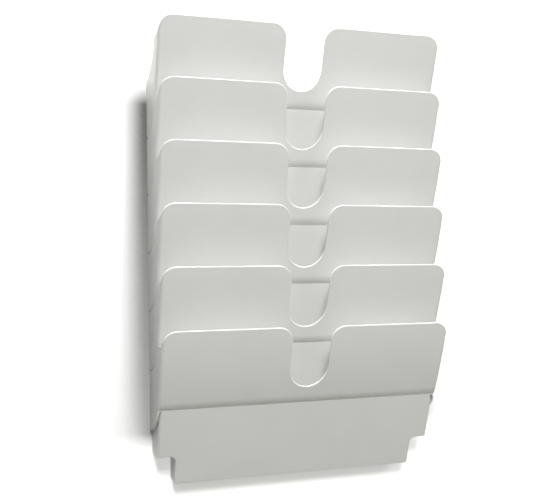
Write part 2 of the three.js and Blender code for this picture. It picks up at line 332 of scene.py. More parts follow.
class MeshParts:
    def __init__(self):
        self.points, self.normals, self.faces = [], [], []

    def add(self, points, normals, faces):
        base = len(self.points)
        self.points += points
        self.normals += normals
        self.faces += [tuple(base + i for i in face) for face in faces]

    # The same parts mirrored left to right
    def mirrored(self):
        other = MeshParts()
        flip = Vector((-1, 1, 1))
        other.points = [p * flip for p in self.points]
        other.normals = [n * flip for n in self.normals]
        other.faces = [tuple(reversed(face)) for face in self.faces]
        return other

    # Turns the faces that look away from their normals
    def turnFaces(self):
        turned = []
        for face in self.faces:
            p, q, r = (self.points[i] for i in face[:3])
            looking = (q - p).cross(r - p)
            wanted = sum((self.normals[i] for i in face), Vector())
            turned.append(face if looking.dot(wanted) >= 0 else tuple(reversed(face)))
        self.faces = turned

    def join(self, other):
        self.add(other.points, other.normals, other.faces)

    def build(self, name, material):
        mesh = bpy.data.meshes.new(name)
        mesh.from_pydata([p * mm for p in self.points], [], self.faces)
        mesh.polygons.foreach_set("use_smooth", [True] * len(mesh.polygons))
        mesh.normals_split_custom_set_from_vertices(self.normals)
        mesh.materials.append(material)
        mesh.update()
        return mesh


# How a surface runs at a spot: along it, down it, and straight out of it
def slopes(surface, s, drop):
    h = sheet["probe"]
    along = (surface(s + h, drop) - surface(s - h, drop)) / (2 * h)
    down = (surface(s, drop + h) - surface(s, drop - h)) / (2 * h)
    return along, down, down.cross(along).normalized()


# The direction in the surface away from the outline, at each of its points, and that direction drawn
# out so that its end keeps the same distance from both edges that meet there
def inwardFrom(loop, spots, runs):
    found = []
    for i, (along, down, normal) in enumerate(runs):
        inward = []
        for a, b in ((i - 1, i), (i, (i + 1) % len(loop))):
            step = Vector((loop[b][0] - loop[a][0], loop[b][1] - loop[a][1]))
            turned = along * -step.y + down * step.x
            course = (spots[b] - spots[a]).normalized()
            turned -= normal * turned.dot(normal) + course * turned.dot(course)
            inward.append(turned.normalized())
        middle = (inward[0] + inward[1]).normalized()
        found.append((middle, middle / max(sheet["leastMitre"], middle.dot(inward[0]))))
    return found


# A direction in the surface as a step in the outline's own plane
def flatStep(reach, along, down):
    aa, ab, bb = along.dot(along), along.dot(down), down.dot(down)
    ra, rb = reach.dot(along), reach.dot(down)
    det = aa * bb - ab * ab
    return (ra * bb - rb * ab) / det, (rb * aa - ra * ab) / det


# The rounded rim along a loop, in strips from the front face to the back one. Returns the loop that is
# left for the faces, and the number of the first point of each strip.
def addRim(made, loop, surface, thick, edge, rimSteps):
    runs = [slopes(surface, *p) for p in loop]
    spots = [surface(*p) for p in loop]
    inner, starts = [], []
    for i, (middle, reach) in enumerate(inwardFrom(loop, spots, runs)):
        along, down, normal = runs[i]
        step = flatStep(reach, along, down)
        inner.append((loop[i][0] + step[0] * edge, loop[i][1] + step[1] * edge))
        starts.append(len(made.points))
        for side in (0, 1):
            for k in range(rimSteps + 1):
                turn = math.pi / 2 * (k / rimSteps if side == 0 else 1 - k / rimSteps)
                depth = edge * (1 - math.cos(turn))
                facing = normal if side == 0 else -normal
                place = spots[i] + reach * (edge * (1 - math.sin(turn)))
                made.points.append(place - normal * (depth if side == 0 else thick - depth))
                made.normals.append((facing * math.cos(turn) - middle * math.sin(turn)).normalized())
    for i, a in enumerate(starts):
        b = starts[(i + 1) % len(starts)]
        for k in range(2 * rimSteps + 1):
            made.faces.append((a + k, a + k + 1, b + k + 1, b + k))
    return inner, starts


# The front and the back face between the loops that the rims leave. starts and ends are the rims' own
# points on these faces, and places are points inside, used where they fit.
def addFaces(made, loops, starts, ends, surface, thick, places, clear):
    plan = [p for loop in loops for p in loop]
    onRim, edges, base = len(plan), [], 0
    for loop in loops:
        edges += [(base + i, base + (i + 1) % len(loop)) for i in range(len(loop))]
        base += len(loop)
    for s, drop in places:
        near = min((p[0] - s) ** 2 + (p[1] - drop) ** 2 for p in plan[:onRim])
        if near > clear * clear and insideLoops((s, drop), loops):
            plan.append((s, drop))
    result = delaunay_2d_cdt([Vector(p) for p in plan], edges, [], 1, sheet["nothing"], True)
    flatPoints, triangles, sources = result[0], result[2], result[3]
    front, back = [], []
    for i, p in enumerate(flatPoints):
        known = next((k for k in sources[i] if k < onRim), None)
        if known is not None:
            front.append(starts[known])
            back.append(ends[known])
            continue
        spot, (_, _, normal) = surface(*p), slopes(surface, *p)
        front.append(len(made.points))
        back.append(len(made.points) + 1)
        made.points += [spot, spot - normal * thick]
        made.normals += [normal, -normal]
    for triangle in triangles:
        corners = [flatPoints[i] for i in triangle]
        middle = sum(corners, Vector((0, 0))) / 3
        span = max(math.dist(a, b) for a, b in zip(corners, corners[1:] + corners[:1]))
        # slivers along a straight edge would lie over it twice
        if abs(signedArea(corners)) > sheet["sliver"] * span ** 2 and insideLoops(middle, loops):
            a, b, c = triangle
            made.faces += [(front[a], front[b], front[c]), (back[c], back[b], back[a])]


# loops: the outline, then any holes, as (s, drop). places: points inside. edge: the rims' radius.
def addSheet(parts, loops, surface, thick, edge, places=(), longest=3, rimSteps=3):
    made = MeshParts()
    innerLoops, starts = [], []
    for number, loop in enumerate(loops):
        loop = resampled(loop, longest)
        if (signedArea(loop) > 0) != (number == 0):
            loop.reverse()
        inner, rimStarts = addRim(made, loop, surface, thick, edge, rimSteps)
        innerLoops.append(inner)
        starts += rimStarts
    ends = [start + 2 * rimSteps + 1 for start in starts]
    addFaces(made, innerLoops, starts, ends, surface, thick, places, sheet["clearShare"] * longest)
    made.turnFaces()
    parts.join(made)


def spaced(step, count, start=0):
    return [start + step * k for k in range(count)]


def mirroredLoop(right):
    return [*right, *[(-s, drop) for s, drop in reversed(right) if abs(s) > sheet["nothing"]]]


# Points in rows, at the same distances to the right and to the left of the middle
def bothWays(distances, rows):
    along = sorted({*distances, *[-s for s in distances]})
    return [(s, drop) for s in along for drop in rows]


# Points inside the sheets, in mm. Where there are two or three values, they are the step, the count and
# the start of a row.
grid = {
    "panelAcross": (11.5, 15),
    "panelDown": (5.5, 14),
    "panelLow": (5, 5, 90),
    "sideAlong": (7, 14, 7),
    "cornerSteps": 5,
    "tuckAcross": 3,
    "tuckDown": (1.5, 9, 74),
    "tuckShift": 0.5,
    "skirtAcross": (14.5, 11),
    "skirtDown": (8, 11),
    "skirtStart": 2,
    "skirtCornerSteps": 4,
    "returnAlong": (8, 7, 8),
    "backAcross": (20, 9),
    "backDown": (12, 5, 110),
}


# The panel with its tabs and tucked-in foot, and the two side walls behind it
def upperSheet(parts):
    radius = tray["cornerRadius"]
    place = (halfWidth, radius, panelFront)
    flat, quarter = halfWidth - radius, math.pi / 2 * radius
    gap = tray["gap"]

    # from the middle of the foot round the nose and up the back edge
    sweep, heel = noseLine()
    low = tray["panelHeight"] + tray["footLength"]
    foot = [(0, low), (flat + tray["footCorner"], low)]
    nose = [(alongSide(*place, reach, drop), drop) for reach, drop in sweep if drop > low + gap]
    heelPoints = [(alongSide(*place, reach, drop), drop) for reach, drop in heel[1:]]
    seat = seatLine()
    back = [mix(heel[-1][1], seat[0][1], k / steps["back"]) for k in range(1, steps["back"])]
    back = [(0, drop) for drop in sorted([*back, tray["panelHeight"]], reverse=True)]

    # along the seat of the tray above, to where the side wall leaves it
    dense = []
    for a, b in zip(seat, seat[1:]):
        for k in range(steps["seat"]):
            share = k / steps["seat"]
            dense.append((mix(a[0], b[0], share), mix(a[1], b[1], share)))
    dense = [p for p in dense if math.dist(p, seat[-1]) > tray["leaveRound"]] + [seat[-1]]
    seatPoints = [(alongSide(*place, reach, drop), drop) for reach, drop in [*back, *dense]]
    leave = seatPoints[-1]
    sideEnd = (flat + quarter, sideTop)

    # over the tab and down into the notch
    tab, notch = tray["tabRadius"], tray["notchWidth"] / 2
    corner = [(alongFront(halfWidth, radius, x), drop)
              for x, drop in arc(halfWidth - tab, tab, tab, 0, -1, steps["tab"]) if drop < sideTop - gap]
    cheek = arc(notch + tab, tab, tab, -1, -2, steps["cheek"])
    bowl = arc(0, tray["notchDepth"] - notch, notch, 0, 1, steps["bowl"])
    right = [*foot, *nose, *heelPoints, *seatPoints, sideEnd, *corner, *cheek, *bowl[:-1]]
    right.append((0, tray["notchDepth"]))
    right = softened(right, [(leave, tray["leaveRound"]), (sideEnd, tray["sideRound"])])

    turn = [flat + quarter * k / grid["cornerSteps"] for k in range(grid["cornerSteps"] + 1)]
    sides = [turn[-1] + s for s in spaced(*grid["sideAlong"])]
    rows = spaced(*grid["panelDown"]) + spaced(*grid["panelLow"])
    places = bothWays([*spaced(*grid["panelAcross"]), *turn, *sides], rows)
    # closer together along the tuck, which bends the most
    across = grid["tuckAcross"]
    shifted = [s + grid["tuckShift"] for s in sides]
    places += bothWays([*spaced(across, int(flat / across)), *turn, *shifted], spaced(*grid["tuckDown"]))
    addSheet(parts, [mirroredLoop(right)], wrapped(*place), wall, tray["edgeRadius"], places)


# The inset skirt, its tongue and the short returns under the side walls
def lowerSheet(parts):
    radius, rim = tray["skirtCornerRadius"], tray["edgeRadius"]
    place = (skirtHalf, radius, skirtFront)
    sweep, _ = noseLine()
    top = tray["panelHeight"] - tray["skirtRise"]
    edge = [(min(reach, skirtFront(drop) - radius - tray["returnSetBack"]), drop)
            for reach, drop in movedOut(sweep, -wall / 2) if drop > top + rim]
    # at the back it reaches up behind the side wall
    rearHigh = tray["noseDrop"] - tray["lugShare"] * tray["heelRadius"]
    lug = [(tray["heelRadius"], mix(rearHigh, edge[-1][1], share)) for share in (0, 0.5, 1)]
    returnTop = [(alongSide(*place, reach, drop), drop) for reach, drop in [*lug, *reversed(edge)]]
    bottom, shoulder = tray["tongueDrop"], tray["shoulderDrop"]
    hollow = tray["tongueRadius"]
    hollowArc = arc(tongueHalf + hollow, shoulder + hollow, hollow, 2, 3, steps["shoulder"])
    under = [(alongSide(*place, reach, shoulder), shoulder) for reach in tray["shoulderReaches"]]
    rearLow = (alongSide(*place, 0, shoulder), shoulder)
    rearDrops = [mix(shoulder, rearHigh, k / steps["rear"]) for k in range(1, steps["rear"] + 1)]
    rear = [(alongSide(*place, 0, drop), drop) for drop in rearDrops]
    right = [(0, bottom), (tongueHalf, bottom), *hollowArc, (skirtHalf - radius, shoulder), *under,
             rearLow, *rear, *returnTop, (returnTop[-1][0], top), (0, top)]
    right = softened(right, [(spot, tray["tongueRound"]) for spot in ((tongueHalf, bottom), rearLow)])

    count = grid["skirtCornerSteps"]
    turn = [skirtHalf - radius + math.pi / 2 * radius * k / count for k in range(count + 1)]
    returns = [turn[-1] + s for s in spaced(*grid["returnAlong"])]
    rows = spaced(*grid["skirtDown"], start=top + grid["skirtStart"])
    places = bothWays([*spaced(*grid["skirtAcross"]), *turn, *returns], rows)
    addSheet(parts, [mirroredLoop(right)], wrapped(*place), wall, rim, places)


# A side profile of (reach, drop) made thick across, between two distances from the middle
def addAcross(parts, profile, inner, outer, edge):
    def upright(reach, drop):
        return Vector((inner, -reach, -drop))

    addSheet(parts, [profile], upright, outer - inner, edge, longest=6, rimSteps=2)


# Parts inside the tray, in mm. They run a little into the sheets that carry them.
innerParts = {
    "ledgeSetBack": 0.8,      # from the nose line
    "ledgeFront": 1,          # behind the rounded corner
    "ledgeShare": 0.7,        # how far into the return it runs, as a share of the wall
    "ledgeEdge": 0.05,
    "ledgeRear": 0.1,         # clear of the wall
    "webRear": 0.02,          # this too
    "webSetBack": 0.45,       # behind the skirt's face
    "webToe": 0.6,            # and more at the bottom
    "webLift": 0.35,
    "webRound": 1.2,
    "webInset": 0.04,
    "webEdge": 0.7,
    "floorSetBack": 1,
    "floorEdge": 0.1,
    "tabEdge": 0.12,
    "backInset": 0.05,        # clear of the wall
    "backEdge": 0.4,
    "backRound": 1.2,
    "backLongest": 5,
}


# The ledges that close the gap between side walls and returns, and the webs behind the tongue
def sideInner(parts):
    sweep, heel = noseLine()
    low = tray["noseDrop"] - tray["heelRadius"]
    behind = tray["creaseReach"] - tray["cornerRadius"] - innerParts["ledgeFront"]
    setBack = innerParts["ledgeSetBack"]
    line = [*[p for p in sweep if p[0] < behind], *heel[1:], (0, low - wall)]
    edge = movedOut(line, -setBack)
    band = [*edge, *reversed(movedOut(edge, setBack - wall))]
    band = [(max(reach, innerParts["ledgeRear"]), drop) for reach, drop in band]
    half = MeshParts()
    inReturn = skirtHalf - wall * innerParts["ledgeShare"]
    addAcross(half, band, inReturn, innerHalf + wall / 2, innerParts["ledgeEdge"])

    bottom, rear, setBack = tray["tongueDrop"], innerParts["webRear"], innerParts["webSetBack"]
    heelDrop = bottom - tray["heelLift"]
    top = floorDrop - wall / 2
    toe = (skirtFront(bottom) - setBack - innerParts["webToe"], bottom - innerParts["webLift"])
    web = [(rear, top), (skirtFront(top) - setBack, top), toe, (rear, heelDrop)]
    web = softened(web, [((rear, heelDrop), innerParts["webRound"])])
    addAcross(half, web, tongueHalf - wall, tongueHalf - innerParts["webInset"], innerParts["webEdge"])
    parts.join(half)
    parts.join(half.mirrored())


def pocketFloor(parts):
    top, setBack = floorDrop - wall, innerParts["floorSetBack"]
    profile = [(wall / 2, top), (skirtFront(top) - setBack, top),
               (skirtFront(floorDrop) - setBack, floorDrop), (wall / 2, floorDrop)]
    half = skirtHalf - wall / 3
    addAcross(parts, profile, -half, half, innerParts["floorEdge"])


snapTab = {
    "spacing": 160,
    "width": 24,
    "height": 20,
    "root": 6,
    "beadDepth": 1.2,
    "beadRamp": 3,
    "beadBelowTip": 3.5,
    "windowHeadroom": 0.7,
}

keyhole = {
    "radius": 4.7,
    "slotRadius": 2.4,
    "run": 10,
    "fromEarTop": 11,
}

snapTip = socketDrop - snapTab["height"]
beadDrop = snapTip + snapTab["beadBelowTip"]
screwDrop = earTop + keyhole["fromEarTop"]


def snapTabs(parts):
    back = wall + tray["gap"]
    front = back + wall
    tip = back - snapTab["beadDepth"]
    foot, rest = socketDrop + snapTab["root"], socketDrop + tray["gap"]
    profile = [
        (wall / 2, foot), (front, foot), (front, snapTip), (back, snapTip),
        (back, beadDrop - snapTab["beadRamp"]), (tip, beadDrop - tray["gap"]), (tip, beadDrop),
        (back, beadDrop), (back, rest), (wall / 2, rest)]
    near = snapTab["spacing"] / 2 - snapTab["width"] / 2
    half = MeshParts()
    addAcross(half, profile, near, near + snapTab["width"], innerParts["tabEdge"])
    parts.join(half)
    parts.join(half.mirrored())


# The flat back against the wall, with its ears, keyholes and windows
def backPlate(parts):
    inSide = innerHalf + wall / 2
    inReturn = skirtHalf - wall / 2
    inWeb = tongueHalf - wall / 2
    sideEnd = tray["noseDrop"] - tray["heelRadius"] - wall / 2
    heelDrop = tray["tongueDrop"] - tray["heelLift"]
    webTop = floorDrop - wall / 3
    earCorner, earFoot = (socketHalf, earTop), (socketHalf, socketDrop)
    right = [(0, heelDrop), (inWeb, heelDrop), (inWeb, webTop), (inReturn, webTop), (inReturn, sideEnd),
             (inSide, sideEnd), (inSide, earTop), earCorner, earFoot, (0, socketDrop)]
    right = softened(right, [(spot, innerParts["backRound"]) for spot in (earCorner, earFoot)])
    left = snapTab["spacing"] / 2 - snapTab["width"] / 2 - tray["gap"]
    wide = snapTab["width"] + 2 * tray["gap"]
    high = beadDrop + tray["pitch"] - snapTab["beadRamp"] - snapTab["windowHeadroom"]
    low = beadDrop + tray["pitch"] + tray["gap"]
    window = [(left, low), (left + wide, low), (left + wide, high), (left, high)]
    centre = screwDrop + keyhole["run"]
    slot = math.asin(keyhole["slotRadius"] / keyhole["radius"]) / (math.pi / 2)
    hole = [*arc(earCentre, centre, keyhole["radius"], -1 + slot, 3 - slot, steps["keyhole"]),
            *arc(earCentre, screwDrop, keyhole["slotRadius"], -2, 0, steps["slot"])]
    loops = [mirroredLoop(right)]
    for opening in (window, hole):
        loops += [opening, [(-s, drop) for s, drop in opening]]

    def upright(s, drop):
        return Vector((s, -wall - innerParts["backInset"], -drop))

    places = bothWays(spaced(*grid["backAcross"]), spaced(*grid["backDown"]))
    addSheet(parts, loops, upright, wall, innerParts["backEdge"], places, innerParts["backLongest"],
             rimSteps=2)


# Polystyrene, injection moulded in a fine spark-eroded tool: an even, cool white with a satin
# sheen, softened highlights and a barely visible grain.
polystyreneLook = {
    "white": "F4F4F2",
    "flowWhite": "F1F1EF",
    "flowSize": 60,           # mm, faint patches where the melt flowed
    "flowDetail": 3,
    "flowSpan": (0.35, 0.65),
    "ior": 1.59,
    "roughness": (0.30, 0.38),
    "grainSize": 0.9,         # mm, real spark grain is about 0.05, drawn coarser so that it can show
    "grainDetail": 2,
    "grainDecay": 0.6,
    "grainSpan": (0.3, 0.7),
    "grainBump": 0.012,
    "waveSize": 35,           # mm, sink and warp, too shallow to see but for the way light runs over it
    "waveDetail": 1,
    "waveDecay": 0.4,
    "waveBump": 0.05,
}


def mouldedPolystyrene():
    material, tree = newMaterial("polystyrene_injection_moulded_satin")
    look = polystyreneLook
    place = addNode(tree, "ShaderNodeTexCoord").outputs["Object"]
    flow = addNode(tree, "ShaderNodeTexNoise", {
        "Vector": place, "Scale": 1000 / look["flowSize"], "Detail": look["flowDetail"]})
    grain = addNode(tree, "ShaderNodeTexNoise", {
        "Vector": place, "Scale": 1000 / look["grainSize"], "Detail": look["grainDetail"],
        "Roughness": look["grainDecay"]})
    wave = addNode(tree, "ShaderNodeTexNoise", {
        "Vector": place, "Scale": 1000 / look["waveSize"], "Detail": look["waveDetail"],
        "Roughness": look["waveDecay"]})
    colour = addNode(tree, "ShaderNodeMix", {
        0: addNode(tree, "ShaderNodeMapRange", [flow, *look["flowSpan"]]),
        6: linearColour(look["white"]), 7: linearColour(look["flowWhite"])}, data_type="RGBA")
    roughness = addNode(tree, "ShaderNodeMapRange", [grain, *look["grainSpan"], *look["roughness"]])
    warp = addNode(tree, "ShaderNodeBump", {
        "Height": wave, "Distance": look["waveBump"] * mm, "Strength": 1})
    relief = addNode(tree, "ShaderNodeBump", {
        "Height": grain, "Distance": look["grainBump"] * mm, "Strength": 1, "Normal": warp})
    shader = addNode(tree, "ShaderNodeBsdfPrincipled", {
        "Base Color": colour, "IOR": look["ior"], "Roughness": roughness, "Normal": relief})
    addNode(tree, "ShaderNodeOutputMaterial", {"Surface": shader})
    return material


polystyrene = mouldedPolystyrene()
trayParts = MeshParts()
upperSheet(trayParts)
lowerSheet(trayParts)
sideInner(trayParts)
pocketFloor(trayParts)
snapTabs(trayParts)
backPlate(trayParts)
trayMesh = trayParts.build("trayMoulding", polystyrene)
print("Tray mesh:", len(trayMesh.vertices), "points,", len(trayMesh.polygons), "faces")

for number in range(1, tray["count"] + 1):
    piece = bpy.data.objects.new(f"tray_{number}_moulding", trayMesh)
    bpy.context.scene.collection.objects.link(piece)
    piece.location = (0, 0, (topZ - tray["pitch"] * (number - 1)) * mm)
    bpy.context.view_layer.update()
    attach(piece, "root")
    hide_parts(f"tray_{number}")
print("Trays placed")


# Round-headed wall screws, in mm
screw = {
    "shankRadius": 2,
    "coreRadius": 1.45,
    "headRadius": 4,
    "headHeight": 2.6,
    "rimBevel": 0.15,
    "length": 30,
    "tip": 5,
    "tipShare": 0.02,         # of the shank's radius, at the very tip
    "plain": 4,
    "plainInset": 0.15,       # how much thinner than the thread the plain part is
    "threadPitch": 1.8,
    "threadStart": 1.5,       # over which the thread grows to its height
    "ridgeShare": 0.22,       # half a ridge's width, as a share of the pitch
    "underHead": 0.02,        # where the shank starts
    "recessWidth": 1.2,
    "recessReach": 2.3,
    "recessDepth": 1.3,
    "recessFlank": 0.25,      # width of the slopes beside the arms
    "recessEnd": 0.4,         # and at their ends
    "recessRise": 0.45,       # share of the depth that is lost towards the ends
    "around": 48,             # points in each ring
    "domeSteps": 14,
    "shankSteps": 140,
    "sharpAngle": 40,
}


# Depth on the head's dome, with the cross recess cut in
def headDepth(radius, angle, dome):
    x, z = abs(radius * math.cos(angle)), abs(radius * math.sin(angle))
    arm, along = min(x, z), max(x, z)
    cut = clamped((screw["recessWidth"] / 2 - arm) / screw["recessFlank"] + 0.5)
    cut *= clamped((screw["recessReach"] - along) / screw["recessEnd"])
    return dome + cut * (screw["recessDepth"] * (1 - screw["recessRise"] * along / screw["recessReach"]))


# The shank's radius at that depth, with the ridge of the thread winding round it
def shankRadius(depth, turnShare):
    taper = min(1, (screw["length"] - depth) / screw["tip"])
    turn = (depth / screw["threadPitch"] - turnShare) % 1
    ridge = max(0, 1 - abs(turn - 0.5) / screw["ridgeShare"])
    fade = clamped((depth - screw["plain"]) / screw["threadStart"])
    core = mix(screw["shankRadius"] - screw["plainInset"], screw["coreRadius"], fade)
    return (core + (screw["shankRadius"] - core) * ridge * fade) * max(taper, screw["tipShare"])


def makeScrew():
    around = screw["around"]
    rows = []
    for i in range(1, screw["domeSteps"] + 1):
        angle = math.pi / 2 * i / screw["domeSteps"]
        dome = -screw["headHeight"] * math.cos(angle)
        rows.append((screw["headRadius"] * math.sin(angle), dome, "head"))
    rows.append((screw["headRadius"] - screw["rimBevel"], 0, "flat"))
    rows.append((screw["shankRadius"], 0, "flat"))
    for i in range(screw["shankSteps"] + 1):
        rows.append((0, mix(screw["underHead"], screw["length"], i / screw["shankSteps"]), "shank"))
    points = [Vector((0, screw["recessDepth"] - screw["headHeight"], 0))]
    for radius, depth, kind in rows:
        for k in range(around):
            angle = 2 * math.pi * k / around
            y = headDepth(radius, angle, depth) if kind == "head" else depth
            r = shankRadius(depth, k / around) if kind == "shank" else radius
            points.append(Vector((r * math.cos(angle), y, r * math.sin(angle))))
    faces = [(0, 1 + (k + 1) % around, 1 + k) for k in range(around)]
    for i in range(len(rows) - 1):
        for k in range(around):
            a, b = 1 + i * around + k, 1 + i * around + (k + 1) % around
            faces.append((a, b, b + around, a + around))
    faces.append(tuple(range(len(points) - around, len(points))))
    mesh = bpy.data.meshes.new("wallScrew")
    mesh.from_pydata([p * mm for p in points], [], faces)
    mesh.polygons.foreach_set("use_smooth", [True] * len(mesh.polygons))
    mesh.set_sharp_from_angle(angle=math.radians(screw["sharpAngle"]))
    mesh.update()
    return mesh


# Carbon steel, cold headed and zinc plated: a bluish grey metal with a fine, slightly cloudy plating.
zincLook = {
    "zinc": "C3C7CC",
    "cloud": "ADB1B7",
    "roughness": (0.26, 0.42),
    "cloudSize": 1.5,         # mm
    "cloudDetail": 4,
    "cloudSpan": (0.3, 0.7),
    "grainSize": 0.25,        # mm, the real plating's is finer, drawn coarser so that it can show
    "grainDetail": 2,
    "grainBump": 0.01,
}


def zincPlatedSteel():
    material, tree = newMaterial("carbon_steel_zinc_plated")
    look = zincLook
    place = addNode(tree, "ShaderNodeTexCoord").outputs["Object"]
    cloud = addNode(tree, "ShaderNodeTexNoise", {
        "Vector": place, "Scale": 1000 / look["cloudSize"], "Detail": look["cloudDetail"]})
    grain = addNode(tree, "ShaderNodeTexNoise", {
        "Vector": place, "Scale": 1000 / look["grainSize"], "Detail": look["grainDetail"]})
    colour = addNode(tree, "ShaderNodeMix", {
        0: cloud, 6: linearColour(look["zinc"]), 7: linearColour(look["cloud"])}, data_type="RGBA")
    roughness = addNode(tree, "ShaderNodeMapRange", [cloud, *look["cloudSpan"], *look["roughness"]])
    relief = addNode(tree, "ShaderNodeBump", {
        "Height": grain, "Distance": look["grainBump"] * mm, "Strength": 1})
    shader = addNode(tree, "ShaderNodeBsdfPrincipled", {
        "Base Color": colour, "Metallic": 1, "Roughness": roughness, "Normal": relief})
    addNode(tree, "ShaderNodeOutputMaterial", {"Surface": shader})
    return material


zinc = zincPlatedSteel()
screwMesh = makeScrew()
screwMesh.materials.append(zinc)
for upDown, number in (("upper", 1), ("lower", tray["count"])):
    for leftRight, side in (("left", -1), ("right", 1)):
        name = f"wall_screw_{upDown}_{leftRight}"
        piece = bpy.data.objects.new(f"{name}_threaded", screwMesh)
        bpy.context.scene.collection.objects.link(piece)
        height = topZ - tray["pitch"] * (number - 1) - screwDrop
        piece.location = (side * earCentre * mm, (-wall - tray["gap"]) * mm, height * mm)
        bpy.context.view_layer.update()
        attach(piece, "root")
        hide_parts(name)
print("Screws placed")


# The wall behind and the floor below. Sizes in m, heights from the holder's middle.
stage = {
    "wallSize": 3.2,
    "behind": 0.0012,
    "floorDrop": 0.75,
    "grainSize": 0.0011,      # roller grain
    "grainDetail": 2,
    "grainBump": 0.00002,
    "grainStrength": 0.5,
    "wallGrey": "DADAD6",     # the wall that lights the object, level with its top and with its foot, darker there as painted shade
    "wallGreyFoot": "2A2A2A",
    "greyHeights": (0.25, -0.25),           # where those two are
    "greyBehind": 0.55,       # how far it is at least towards the latter behind the holder, as painted shade of the holder
    "behindSpan": (0.15, 0.2),              # to either side, where that holds and where it has ended
    "wallSeen": 1.38,         # the wall that is seen, over 1 because the lamps are aimed at the object
    "shadowReach": 0.05,      # width of the painted close shadow beside the trays
    "shadowSpan": (0.5, 1),   # open share of the surroundings where it is full and where it ends
    "shadowSamples": 16,
    "shadowStrengths": (0.93, 0.64),        # at the first tray and at the last
    "shadowHeights": (0.21, -0.2),          # where those two are
    "shadowStart": (0.207, 0.178),          # height where it starts and where it is full
    "startShare": 0.15,       # what it has of its strength there
    "shoulderHeights": (-0.2, -0.222),      # where it weakens under the shoulders
    "shoulderBeside": (0.139, 0.146),       # and how far to either side
    "shoulderCut": 0.75,
    "wallGlow": 0.45,         # painted light, added below the trays where little light falls
    "glowHeights": (-0.2, -0.23),           # where that starts and where it is full
    "rearGap": 0.0025,        # how near to the wall the back of the holder is lit by its painted glow
    "rearGlow": 0.55,
    "floorGrey": "505040",    # the floor that lights the object
    "floorSeen": "A8A8A6",    # the part of its seen white that the lamps light
    "floorGlow": 0.62,        # and the part that they needn't reach
    "roomFill": 0.16,         # the room's light on the object, where the white that is seen is 1
}


def plane(name, corners, material):
    mesh = bpy.data.meshes.new(name)
    mesh.from_pydata(corners, [], [(0, 1, 2, 3)])
    mesh.materials.append(material)
    obj = bpy.data.objects.new(name, mesh)
    bpy.context.scene.collection.objects.link(obj)


# The share of the white background that a ray sees: all of it where it comes from the camera, or
# from gloss or glass on the object, and none of it where it lights the object.
def addBackgroundShare(tree):
    path = addNode(tree, "ShaderNodeLightPath")
    shown = path.outputs["Is Camera Ray"]
    for ray in ("Is Glossy Ray", "Is Transmission Ray"):
        shown = addNode(tree, "ShaderNodeMath", [shown, path.outputs[ray]],
                        operation="ADD", use_clamp=True)
    return path, shown


# A fine roller grain on the paint, and nothing at all seen from behind, so that the holder can be
# looked at from the back and from below
def finishPaint(tree, colour, glow):
    geometry = addNode(tree, "ShaderNodeNewGeometry")
    grain = addNode(tree, "ShaderNodeTexNoise", {
        "Vector": geometry.outputs["Position"], "Scale": 1 / stage["grainSize"],
        "Detail": stage["grainDetail"]})
    relief = addNode(tree, "ShaderNodeBump", {
        "Height": grain, "Distance": stage["grainBump"], "Strength": stage["grainStrength"]})
    paint = addNode(tree, "ShaderNodeBsdfDiffuse", {"Color": colour, "Normal": relief})
    light = addNode(tree, "ShaderNodeEmission", {"Strength": glow})
    front = addNode(tree, "ShaderNodeAddShader", [paint, light])
    rear = addNode(tree, "ShaderNodeBsdfTransparent")
    oneSided = addNode(tree, "ShaderNodeMixShader", [geometry.outputs["Backfacing"], front, rear])
    addNode(tree, "ShaderNodeOutputMaterial", {"Surface": oneSided})
